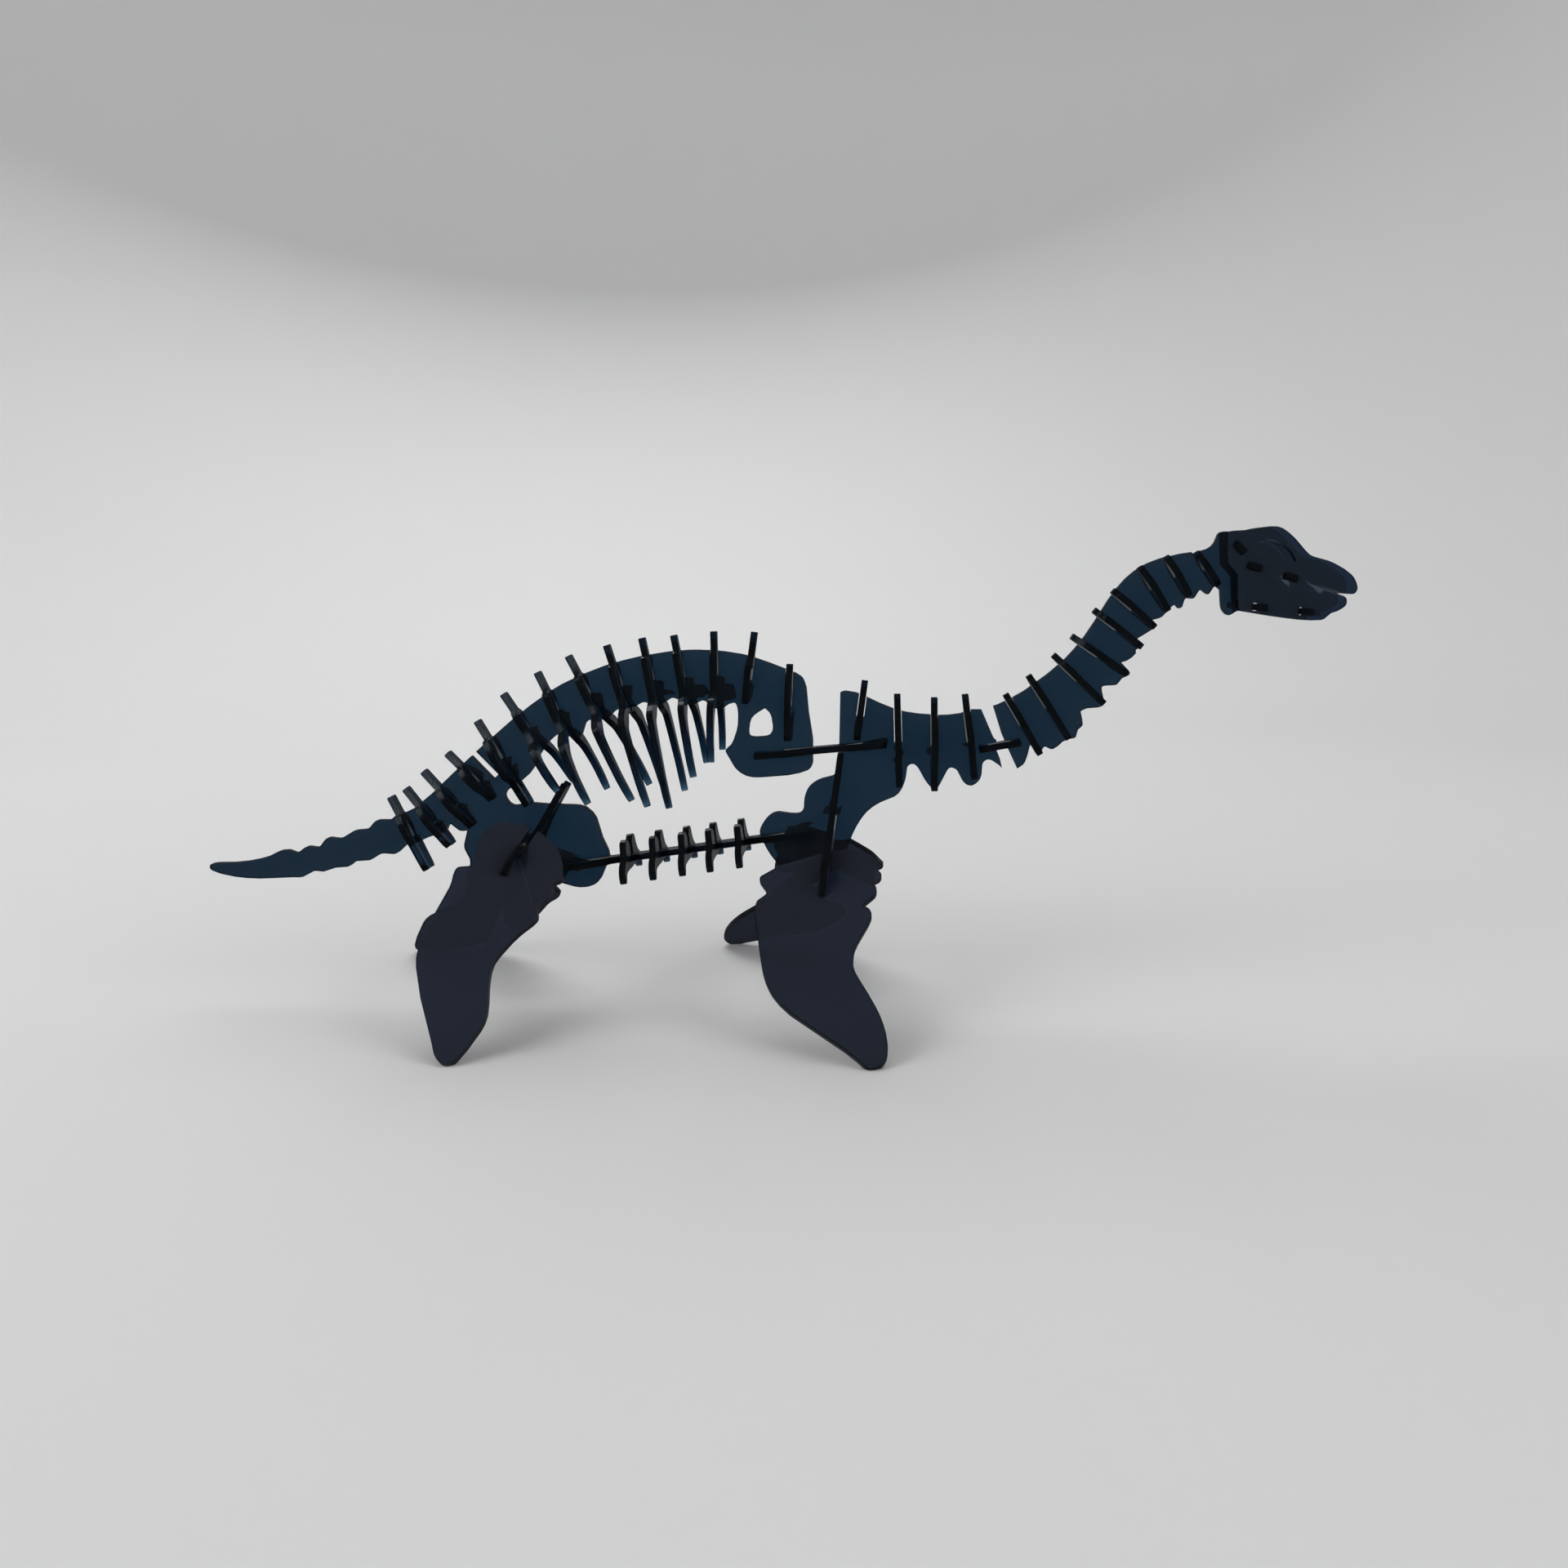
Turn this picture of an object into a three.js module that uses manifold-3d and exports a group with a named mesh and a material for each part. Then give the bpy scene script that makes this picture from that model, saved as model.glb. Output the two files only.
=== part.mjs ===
// A slot-together plesiosaur skeleton, cut from one thickness of smoky blue clear sheet.
// Millimetres, +Z up, +X towards the head. The three upright plates lie in the XZ plane.
// The origin is on the ground, under the middle of the skeleton's box.
import * as THREE from 'three';
import { mergeVertices } from 'three/addons/utils/BufferGeometryUtils.js';
import Module from 'manifold-3d';

const wasm = await Module();
wasm.setup();

// Driving dimensions
const SHEET = 3;
const GAP = 0.3;
const SLOT = SHEET + 2 * GAP;
const SMOOTH_STEPS = 5;
const FLATNESS = 0.14;
const PIVOT_OUT = 28;
const HEAD_SIDE_OUT = 7;
const HEAD_SIDE_BACK = 2.3;
const TAB_OUT = 9.6;

const X = new THREE.Vector3(1, 0, 0);
const Y = new THREE.Vector3(0, 1, 0);
const Z = new THREE.Vector3(0, 0, 1);

const SHEET_BLUE = 0x263a4c;
const FLIPPER_GREY = 0x2b2f3d;

// Outlines

// Drops the points of a run that lie within FLATNESS of the line between their neighbours.
function thinned(points) {
  if (points.length < 3) return points;
  const first = points[0];
  const last = points[points.length - 1];
  const chord = last.clone().sub(first);
  const span = chord.length();
  let worst = 0;
  let at = 0;
  for (let i = 1; i < points.length - 1; i += 1) {
    const arm = points[i].clone().sub(first);
    const off = span > FLATNESS ? Math.abs(chord.cross(arm)) / span : arm.length();
    if (off > worst) {
      worst = off;
      at = i;
    }
  }
  if (worst < FLATNESS) return [first, last];
  return [...thinned(points.slice(0, at + 1)).slice(0, -1), ...thinned(points.slice(at))];
}

// A closed outline made of runs. Each run starts where the last one ended, and is one
// smooth curve through its points; a run that adds one point is a straight edge.
function outline(start, ...runs) {
  const points = [];
  let from = start;
  for (const run of runs) {
    const stops = [from, ...run].map(([a, b]) => new THREE.Vector2(a, b));
    const curve = new THREE.SplineCurve(stops);
    const fine = run.length > 1 ? curve.getPoints(SMOOTH_STEPS * run.length) : stops;
    points.push(...thinned(fine).slice(0, -1));
    from = run[run.length - 1];
  }
  points.push(new THREE.Vector2(...from));
  const closing = points[points.length - 1].distanceTo(points[0]) < 1e-6;
  return closing ? points.slice(0, -1) : points;
}

// The right half of a plate, drawn from top to bottom, and its mirror image.
function mirrored(...runs) {
  const [start, ...rest] = runs;
  const right = outline(start, ...rest);
  const left = right.filter((p) => p.x > 0).map((p) => new THREE.Vector2(-p.x, p.y));
  return [...right, ...left.reverse()];
}

function shapeOf(points, ...holes) {
  const shape = new THREE.Shape(points);
  const turn = THREE.ShapeUtils.isClockWise(points);
  for (const hole of holes) {
    const same = THREE.ShapeUtils.isClockWise(hole) === turn;
    shape.holes.push(new THREE.Path(same ? [...hole].reverse() : hole));
  }
  return shape;
}

// Frames: where a flat plate stands. Its own axes are `along` and `up`.
function frame(origin, along, up) {
  const a = along.clone().normalize();
  const u = up.clone().normalize();
  return { origin, along: a, up: u, normal: a.clone().cross(u) };
}

const MIDDLE = frame(new THREE.Vector3(), X, Z);

// A plate that stands across the middle one. Its top leans back by `lean` per unit down.
function crossFrame(x, z, lean) {
  return frame(new THREE.Vector3(x, 0, z), Y, new THREE.Vector3(-lean, 0, 1));
}

function place(f, a, b) {
  return f.origin.clone().addScaledVector(f.along, a).addScaledVector(f.up, b);
}

// Solids

function solid(geometry) {
  const bare = geometry.clone();
  bare.deleteAttribute('normal');
  bare.deleteAttribute('uv');
  const merged = mergeVertices(bare, 1e-5);
  return new wasm.Manifold(new wasm.Mesh({
    numProp: 3,
    vertProperties: new Float32Array(merged.attributes.position.array),
    triVerts: new Uint32Array(merged.index.array),
  }));
}

function geometryOf(manifold) {
  const mesh = manifold.getMesh();
  const geometry = new THREE.BufferGeometry();
  geometry.setAttribute('position', new THREE.BufferAttribute(mesh.vertProperties, 3));
  geometry.setIndex(new THREE.BufferAttribute(mesh.triVerts, 1));
  geometry.computeVertexNormals();
  return geometry;
}

// The space that a slot takes: a box that starts at `from` and runs `length` along
// `direction`, `width` across `side`, and deep enough to cut right through a sheet.
function slotBox(from, direction, side, length, width = SLOT) {
  const d = direction.clone().normalize();
  const s = side.clone().addScaledVector(d, -side.dot(d)).normalize();
  const through = d.clone().cross(s);
  const box = new THREE.BoxGeometry(length, width, 4 * SHEET);
  const centre = from.clone().addScaledVector(d, length / 2);
  const matrix = new THREE.Matrix4().makeBasis(d, s, through).setPosition(centre);
  return box.applyMatrix4(matrix);
}

const group = new THREE.Group();
group.name = 'plesiosaur_skeleton';

// One sheet piece: its shape is extruded, its slots are cut, and it is set in its frame.
function piece(name, shape, f, cuts = [], colour = SHEET_BLUE) {
  const sheet = new THREE.ExtrudeGeometry(shape, { depth: SHEET, bevelEnabled: false });
  sheet.translate(0, 0, -SHEET / 2);
  const matrix = new THREE.Matrix4().makeBasis(f.along, f.up, f.normal).setPosition(f.origin);
  const back = matrix.clone().invert();
  let body = solid(sheet);
  for (const cut of cuts) body = body.subtract(solid(cut.clone().applyMatrix4(back)));
  const material = new THREE.MeshStandardMaterial({ color: colour, roughness: 0.12, metalness: 0 });
  const mesh = new THREE.Mesh(geometryOf(body), material);
  mesh.name = name;
  mesh.position.copy(f.origin);
  mesh.quaternion.setFromRotationMatrix(matrix);
  group.add(mesh);
}

// Half-lap slots are gathered here for each upright plate, then cut when it is made.
const slots = { trunk: [], chest: [], neck: [] };

// A cross plate that drops over an upright plate. `shape` has its origin at the tip of the
// top spine; `lap` is how far below it the two half slots meet.
function crossPlate(name, host, x, z, lean, lap, depth, shape) {
  const f = crossFrame(x, z, lean);
  const meet = place(f, 0, -lap);
  const down = f.up.clone().negate();
  slots[host].push(slotBox(meet.clone().addScaledVector(down, GAP / 2), f.up, f.normal, lap + 2));
  const cut = slotBox(meet.clone().addScaledVector(f.up, GAP / 2), down, Y, depth);
  piece(name, shapeOf(shape), f, [cut]);
}

// Outlines of the cross plates, drawn from the tip of the top spine down

const SPINE_HALF = 2;

// A tail plate: a spine on top, two drooping wings and two prongs beside the tail.
function tailShape(spine, wing, wingDrop, length) {
  const prong = SPINE_HALF + 2.3;
  return mirrored(
    [SPINE_HALF - 0.6, 0],
    [[SPINE_HALF, -0.6]],
    [[SPINE_HALF, -spine]],
    [[wing * 0.7, -spine - 1.5], [wing, -spine - 0.5 * wingDrop],
      [wing - 0.6, -spine - wingDrop], [prong + 0.5, -spine - wingDrop - 2]],
    [[prong, -length + 2], [prong - 1, -length]],
    [[SPINE_HALF, -length + 0.4]],
  );
}

// A rib plate: a spine on top, a body that straddles the back, and a rib down each side.
function ribShape(spine, body, reach, length) {
  const shoulder = Math.min(length * 0.32, 20);
  return mirrored(
    [SPINE_HALF - 0.6, 0],
    [[SPINE_HALF, -0.6]],
    [[SPINE_HALF, -spine]],
    [[0.28 * reach, -spine - 2], [0.34 * reach, -spine - 0.5 * shoulder],
      [0.36 * reach, -spine - 0.98 * shoulder]],
    [[0.78 * reach, -spine - 1.2 * shoulder], [0.93 * reach, -spine - 1.45 * shoulder],
      [reach + 0.4, -0.78 * length], [reach + 0.4, -0.9 * length],
      [reach - 1.2, -length + 0.6], [reach - 2.6, -length + 0.8], [reach - 3, -0.9 * length],
      [reach - 3.4, -0.79 * length], [0.7 * reach, -spine - 1.6 * shoulder],
      [0.5 * reach, -spine - 1.38 * shoulder], [6.4, -spine - 1.2 * shoulder]],
    [[5.4, -body + 1.6], [3.6, -body]],
    [[SPINE_HALF, -body + 0.6]],
  );
}

// A plate with no ribs: a spine on top and a lozenge that narrows to two prongs.
function lozengeShape(spine, reach, length) {
  return mirrored(
    [SPINE_HALF - 0.6, 0],
    [[SPINE_HALF, -0.6]],
    [[SPINE_HALF, -spine]],
    [[0.45 * reach, -spine - 1], [0.85 * reach, -spine - 0.16 * length], [reach, -0.45 * length],
      [0.86 * reach, -0.66 * length], [5, -0.84 * length], [4.4, -length + 1.6], [3.2, -length]],
    [[SPINE_HALF, -length + 0.5]],
  );
}

// Tail plates: spine tip x and z, lean, lap, spine, wing, wing drop, length
const TAIL_PLATES = [
  [-180.8, 88.9, 0.527, 21, 9, 5.8, 14, 37.6],
  [-174, 92.6, 0.8, 21, 10, 6.2, 15, 33.5],
  [-165.8, 100.5, 0.92, 22, 11, 6.8, 15, 34],
  [-154.9, 108.8, 1.02, 20, 8.5, 7.6, 14, 30],
  [-141.2, 123.6, 0.62, 21, 9.5, 9.5, 20, 45.5],
];
TAIL_PLATES.forEach(([x, z, lean, lap, spine, wing, drop, length], i) => {
  const shape = tailShape(spine, wing, drop, length);
  crossPlate(`tail_plate_${i + 1}`, 'trunk', x, z, lean, lap, length, shape);
});

// Rib plates: spine tip x and z, lean, lap, spine, body, reach of the ribs, length
const RIB_PLATES = [
  [-129.2, 136, 0.68, 20, 9, 30, 16, 51.5],
  [-113.6, 145.9, 0.489, 20, 9.5, 33, 21, 63.5],
  [-99.4, 153.4, 0.533, 20, 9.5, 33, 22.5, 71],
  [-81.8, 158.3, 0.326, 20, 9, 33, 23, 73.7],
  [-65.6, 161.6, 0.22, 20, 8, 32, 23.5, 75.7],
  [-51, 162.9, 0.198, 20, 7, 31, 22.5, 63.1],
  [-32.6, 164.6, 0.025, 20, 8.5, 32, 21.5, 57.4],
];
RIB_PLATES.forEach(([x, z, lean, lap, spine, body, reach, length], i) => {
  const shape = ribShape(spine, body, reach, length);
  crossPlate(`rib_plate_${i + 1}`, 'trunk', x, z, lean, lap, length, shape);
});

// Shoulder and chest plates: host, spine tip x and z, lean, lap, spine, reach, length
const LOZENGE_PLATES = [
  ['shoulder_plate_1', 'trunk', -13.9, 164.3, -0.13, 22, 11, 10, 33],
  ['shoulder_plate_2', 'trunk', 2.3, 149.6, -0.03, 19, 3.5, 9, 35],
  ['chest_plate_1', 'chest', 36.8, 142.1, -0.134, 16.5, 6, 9, 27.5],
  ['chest_plate_2', 'chest', 51.6, 135.9, 0.022, 22, 6.5, 11, 42.6],
  ['chest_plate_3', 'chest', 68.6, 134.3, 0, 22, 7.5, 11, 42.6],
  ['chest_plate_4', 'chest', 82.7, 135.8, 0.11, 22, 7.5, 10, 39],
];
for (const [name, host, x, z, lean, lap, spine, reach, length] of LOZENGE_PLATES) {
  crossPlate(name, host, x, z, lean, lap, length, lozengeShape(spine, reach, length));
}

// Neck plates: where each starts above and ends below the neck, and its reach
const NECK_PLATES = [
  [101.3, 135.8, 117, 108.4, 8.5],
  [111.8, 144.4, 130.1, 115.5, 8.5],
  [123.2, 153.8, 146.2, 131.6, 8],
  [131.6, 162.4, 156.8, 145.1, 8],
  [141.8, 174.4, 163.5, 157.5, 7.5],
  [150.4, 183.4, 169.5, 166.5, 7],
  [162.8, 194.3, 175.5, 174, 6.5],
  [174.8, 199.1, 185.3, 180.8, 6],
  [188.6, 201, 198.4, 185.6, 5.5],
];
NECK_PLATES.forEach(([x, z, lowX, lowZ, reach], i) => {
  const lean = (lowX - x) / (z - lowZ);
  const length = Math.hypot(lowX - x, z - lowZ);
  const shape = lozengeShape(1.6, reach, length);
  crossPlate(`neck_plate_${i + 1}`, 'neck', x, z, lean, length / 2, length, shape);
});

// Level pieces: strips that lie flat and reach from one upright plate to the next

// A strip's frame: it starts at (x, z) in the middle plane and rises by `rise` per unit.
function stripFrame(x, z, rise) {
  return frame(new THREE.Vector3(x, 0, z), new THREE.Vector3(1, 0, rise), Y);
}

// Half-lap slots where a strip's end grips an upright plate. `meet` is how far along the
// strip they meet, and `way` is 1 where the strip's own slot opens forward.
function gripCut(f, meet, way, host) {
  const reach = 40;
  const at = place(f, meet, 0);
  const out = f.along.clone().multiplyScalar(way);
  const hostEnd = at.clone().addScaledVector(out, GAP / 2);
  const ownEnd = at.clone().addScaledVector(out, -GAP / 2);
  slots[host].push(slotBox(hostEnd, out.clone().negate(), f.normal, reach));
  return slotBox(ownEnd, out, Y, reach);
}

// A strip with ends that are wider than its middle
function stripShape(length, endHalf, midHalf, endLength) {
  const side = [
    [0, endHalf - 1.5], [1.5, endHalf], [endLength - 3, endHalf], [endLength, midHalf],
    [length - endLength, midHalf], [length - endLength + 3, endHalf], [length - 1.5, endHalf],
    [length, endHalf - 1.5],
  ];
  const near = side.map(([a, b]) => new THREE.Vector2(a, -b));
  const far = side.map(([a, b]) => new THREE.Vector2(a, b)).reverse();
  return shapeOf([...near, ...far]);
}

// The strip from the back's round end to the chest
const backJoin = stripFrame(-14, 107.6, 0.089);
const BACK_JOIN_LENGTH = 61;
piece('back_join', stripShape(BACK_JOIN_LENGTH, 5, 3.2, 20), backJoin, [
  gripCut(backJoin, 14, -1, 'trunk'),
  gripCut(backJoin, 50, 1, 'chest'),
]);

// The strip from the chest to the neck
const neckJoin = stripFrame(89, 110.6, 0.17);
const NECK_JOIN_LENGTH = 19.5;
piece('neck_join', stripShape(NECK_JOIN_LENGTH, 4.5, 3.4, 7), neckJoin, [
  gripCut(neckJoin, 4.5, -1, 'chest'),
  gripCut(neckJoin, 15, 1, 'neck'),
]);

// The belly strip from the hip lobe to the chest's rear lobe, and the plates hung on it
const belly = stripFrame(-100, 57, 0.139);
const BELLY_LENGTH = 111.5;
const BELLY_HALF = 2.9;
const BELLY_WAIST = 2;
const BELLY_STATIONS = [28.9, 42.2, 55.4, 67.8, 81];

function bellyPlateShape() {
  return mirrored(
    [0, 4.8],
    [[3.4, 7.6], [6.6, 9.4], [9.8, 8.2], [11, 4.6], [13, 1.4], [16.4, -0.6], [18.6, -4],
      [18.4, -7.4], [17.2, -8.2], [16, -7], [14, -4.6], [8, -4.2], [0, -4.4]],
  );
}

const bellyCuts = [gripCut(belly, 10, -1, 'trunk'), gripCut(belly, 101, 1, 'chest')];
BELLY_STATIONS.forEach((station, i) => {
  const f = frame(place(belly, station, 0), Y, belly.normal);
  const underside = place(f, 0, -SHEET / 2 - GAP);
  const seat = slotBox(underside, f.up, Y, 20, 2 * (BELLY_WAIST + GAP));
  piece(`belly_plate_${i + 1}`, shapeOf(bellyPlateShape()), f, [seat]);
  for (const side of [-1, 1]) {
    const notch = place(belly, station, side * BELLY_WAIST);
    bellyCuts.push(slotBox(notch, Y.clone().multiplyScalar(side), belly.along, 5));
  }
});
piece('belly_strip', stripShape(BELLY_LENGTH, 5.6, BELLY_HALF, 21), belly, bellyCuts);

// Girdles and flippers. Each girdle stands across the body and carries a pair of flippers,
// which splay out from it. Its frame starts level with the near flipper's pivot.
const GROUND = new THREE.BoxGeometry(800, 400, 40).translate(0, 0, -20);

const frontGirdle = crossFrame(19, 56.6, -0.13);
const rearGirdle = crossFrame(-115.7, 66.6, -0.55);

// A flipper's frame. `out` is -1 on the near side and 1 on the far side, `splay` is its
// angle out from upright, and `sweep` turns it back in its own plane. The far flippers are
// the same cuts turned end for end, so their hollow edge faces the tail.
function flipperFrame(girdle, out, drop, splayDeg, sweepDeg, turned) {
  const splay = THREE.MathUtils.degToRad(splayDeg);
  const sweep = THREE.MathUtils.degToRad(sweepDeg);
  const pivot = place(girdle, out * PIVOT_OUT, -drop);
  const fall = new THREE.Vector3(0, out * Math.sin(splay), -Math.cos(splay));
  const forward = X.clone().multiplyScalar(Math.cos(sweep)).addScaledVector(fall, Math.sin(sweep));
  const down = X.clone().multiplyScalar(-Math.sin(sweep)).addScaledVector(fall, Math.cos(sweep));
  if (turned) forward.negate();
  return frame(pivot, forward, down);
}

const flipperFrames = {
  near_front_flipper: flipperFrame(frontGirdle, -1, 0, 48, 0, false),
  far_front_flipper: flipperFrame(frontGirdle, 1, 0, 37, 22, true),
  near_rear_flipper: flipperFrame(rearGirdle, -1, 0, 41.5, 0, false),
  far_rear_flipper: flipperFrame(rearGirdle, 1, 15, 29.2, 54.3, true),
};

// The line in which a flipper and its girdle cross, pointing down
function crossing(flipper, girdle) {
  const line = flipper.normal.clone().cross(girdle.normal).normalize();
  return line.z > 0 ? line.negate() : line;
}

// Outlines of the flippers, from their pivot: forward, and down the flipper
function frontFlipperShape() {
  return shapeOf(outline(
    [9.5, -16.5],
    [[14, -15.5], [16.5, -13], [17, -9.5]],
    [[23.5, -5.5], [25.5, -3], [24.5, -0.3], [21.5, 1.5]],
    [[23.2, 3.5], [23, 7], [20, 10], [17.5, 12.5]],
    [[20.3, 14.2], [21.3, 17.5], [20, 21.5], [14.8, 32], [13.8, 38], [14.6, 43.5], [20.5, 54],
      [25, 63], [27.6, 72], [27.7, 79], [26, 82.8], [22.8, 84.6], [19.6, 84.3], [16, 81],
      [9, 75.5], [-6.5, 65], [-13, 60], [-18.5, 54], [-22.5, 46], [-24.8, 36.5], [-26, 30.5],
      [-28.6, 15], [-28, 10]],
    [[-25.6, 8], [-24.2, 6.2], [-25.2, 3.8], [-27.5, 0.5]],
    [[-27.4, -2.2], [-22.5, -5.5], [-18.5, -8], [-7.5, -12], [1, -14.5], [9.5, -16.5]],
  ));
}

function rearFlipperShape() {
  return shapeOf(outline(
    [-17.5, 2.5],
    [[-18.5, 4], [-23.2, 4.6], [-24.5, 7.5], [-24.6, 13], [-26.4, 20], [-29.6, 31], [-31.2, 41],
      [-30.6, 48], [-27, 58], [-23.5, 66], [-16.5, 80], [-13.8, 85.6], [-9.5, 89], [-5.6, 87.3],
      [-0.5, 79], [2.4, 72], [2.6, 66], [1, 56], [1, 48], [4.6, 41], [9.4, 34.6], [14.4, 29.8],
      [15.4, 27], [14.2, 23]],
    [[18, 19.6], [19.6, 15], [19.6, 12]],
    [[22.6, 10.4], [22.4, 5.5], [21, 1], [17, -6], [8, -13], [-2, -17], [-10, -17], [-15.5, -12.5],
      [-17.6, -6], [-17.5, 2.5]],
  ));
}

const flipperPairs = [
  ['front', frontFlipperShape, frontGirdle],
  ['rear', rearFlipperShape, rearGirdle],
];
const girdleCuts = { front: [], rear: [] };
for (const [end, shape, girdle] of flipperPairs) {
  for (const side of ['near', 'far']) {
    const name = `${side}_${end}_flipper`;
    const f = flipperFrames[name];
    const down = crossing(f, girdle);
    const stop = f.origin.clone().addScaledVector(down, GAP / 2);
    const mouth = f.origin.clone().addScaledVector(down, -GAP / 2);
    const slot = slotBox(stop, down.clone().negate(), girdle.normal, 30);
    girdleCuts[end].push(slotBox(mouth, down, f.normal, 20));
    piece(name, shape(), f, [slot, GROUND], FLIPPER_GREY);
  }
}

// A girdle's two prongs grip its upright plate from below, and its arms reach out.
function girdle(name, host, f, lap, shape, cuts) {
  const meet = place(f, 0, lap);
  const down = f.up.clone().negate();
  slots[host].push(slotBox(meet.clone().addScaledVector(f.up, GAP / 2), down, f.normal, 60));
  const own = slotBox(meet.clone().addScaledVector(down, GAP / 2), f.up, Y, 60);
  piece(name, shapeOf(shape), f, [own, ...cuts]);
}

girdle('front_girdle', 'chest', frontGirdle, 24, mirrored(
  [1, 52],
  [[4.2, 52], [6, 48], [8.5, 41], [14.5, 35], [19.5, 28], [22.5, 20], [27, 13.5], [32.4, 9],
    [35.6, 3.5], [36, -3], [33, -7.6], [28.6, -7.6], [23.6, -2], [17.4, 7], [9, 14.4], [0, 17]],
), girdleCuts.front);

girdle('rear_girdle', 'trunk', rearGirdle, -1, [
  ...outline(
    [1, 32],
    [[4.2, 32], [5.4, 28], [6, 16], [9.5, 4], [17.6, -3], [27, -6.6], [33.6, -10.4], [36, -16.4],
      [34.6, -22.4], [30.6, -23.8], [27, -20.6], [21.4, -15], [12, -11.6], [0, -10.6],
      [-10, -8.4], [-20, -5.6], [-26.6, -7.6], [-32, -9], [-35.8, -5], [-35.2, 1.4], [-31, 6],
      [-24, 7.4], [-14, 6.2], [-8, 8.6], [-6, 16], [-5.4, 28], [-4.2, 32], [-1, 32]],
  ),
], girdleCuts.rear);

// Head: two side plates held apart by three plates whose tabs pass through them.
// Each of those: start x and z, end x and z, half width, tabs along it, and slot depth.
const HEAD_PLATES = {
  palate: { from: [208.5, 195.6], to: [236, 187.8], tabs: [[2, 8], [19, 25]], lap: 5 },
  jaw_floor: { from: [203.8, 176.9], to: [244, 173.2], tabs: [[9, 15], [30, 36]], lap: 5 },
  nape: { from: [202, 206.8], to: [211, 198.4], tabs: [[3.4, 8.9]], lap: 5.5 },
};
const HEAD_BODY_HALF = HEAD_SIDE_OUT - SHEET / 2 - GAP;
const headCuts = [];

for (const [name, { from, to, tabs, lap }] of Object.entries(HEAD_PLATES)) {
  const length = Math.hypot(to[0] - from[0], to[1] - from[1]);
  const f = stripFrame(from[0], from[1], (to[1] - from[1]) / (to[0] - from[0]));
  const edge = [[0, HEAD_BODY_HALF]];
  for (const [a, b] of tabs) {
    edge.push([a, HEAD_BODY_HALF], [a, TAB_OUT], [b, TAB_OUT], [b, HEAD_BODY_HALF]);
    const middle = place(f, a - GAP, 0);
    const window = new THREE.BoxGeometry(b - a + 2 * GAP, 4 * TAB_OUT, SLOT);
    window.translate((b - a + 2 * GAP) / 2, 0, 0);
    const matrix = new THREE.Matrix4().makeBasis(f.along, f.up, f.normal).setPosition(middle);
    headCuts.push(window.applyMatrix4(matrix));
  }
  edge.push([length, HEAD_BODY_HALF]);
  const far = edge.map(([a, b]) => new THREE.Vector2(a, b)).reverse();
  const near = edge.map(([a, b]) => new THREE.Vector2(a, -b));
  piece(name, shapeOf([...near, ...far]), f, [gripCut(f, lap, -1, 'neck')]);
}

// A curved slit under the brow, as an arc with a constant width
function eyeSlit() {
  const [cx, cz, radius, half] = [220.3 - HEAD_SIDE_BACK, 191.8, 14.2, 0.7];
  const [low, high] = [THREE.MathUtils.degToRad(20), THREE.MathUtils.degToRad(89)];
  const slit = new THREE.Path();
  slit.absarc(cx, cz, radius + half, low, high, false);
  slit.absarc(cx, cz, radius - half, high, low, true);
  return slit.getPoints(8);
}

function headSideShape() {
  const back = outline(
    [203.5, 210],
    [[206, 210.6], [214.5, 211], [220.5, 212.4], [226, 212.5], [230, 210.6], [235, 206],
      [239.5, 200.6], [242.4, 198.8], [249, 197], [255, 194], [259.5, 190.6], [261.6, 187],
      [262, 184], [260.4, 182], [257.5, 182]],
    [[256, 182]],
    [[240, 187.4]],
    [[240, 186.7]],
    [[256, 181]],
    [[257.2, 179.4], [256.6, 176.6], [253, 174.2], [250, 173.2], [248, 171.6], [245.4, 170.1],
      [237, 170.1], [227, 171.4], [218, 173], [209, 174.4]],
    [[208, 176.5]],
    [[208, 190.8]],
    [[203.5, 195.8]],
    [[203.5, 210]],
  );
  for (const point of back) point.x -= HEAD_SIDE_BACK;
  return shapeOf(back, eyeSlit());
}

for (const [name, out] of [['near_head_side', -1], ['far_head_side', 1]]) {
  const f = frame(new THREE.Vector3(0, out * HEAD_SIDE_OUT, 0), X, Z);
  piece(name, headSideShape(), f, headCuts);
}

// Upright plates, made last because every other piece cuts a slot in them

// The empty half slot between the tail plates and the rib plates
const spareFoot = new THREE.Vector3(-132.2, 0, 98.1);
const spareUp = new THREE.Vector3(-10.3, 0, 10.5);
const spareSide = new THREE.Vector3(10.5, 0, 10.3);
slots.trunk.push(slotBox(spareFoot, spareUp, spareSide, 20, SHEET));

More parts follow.
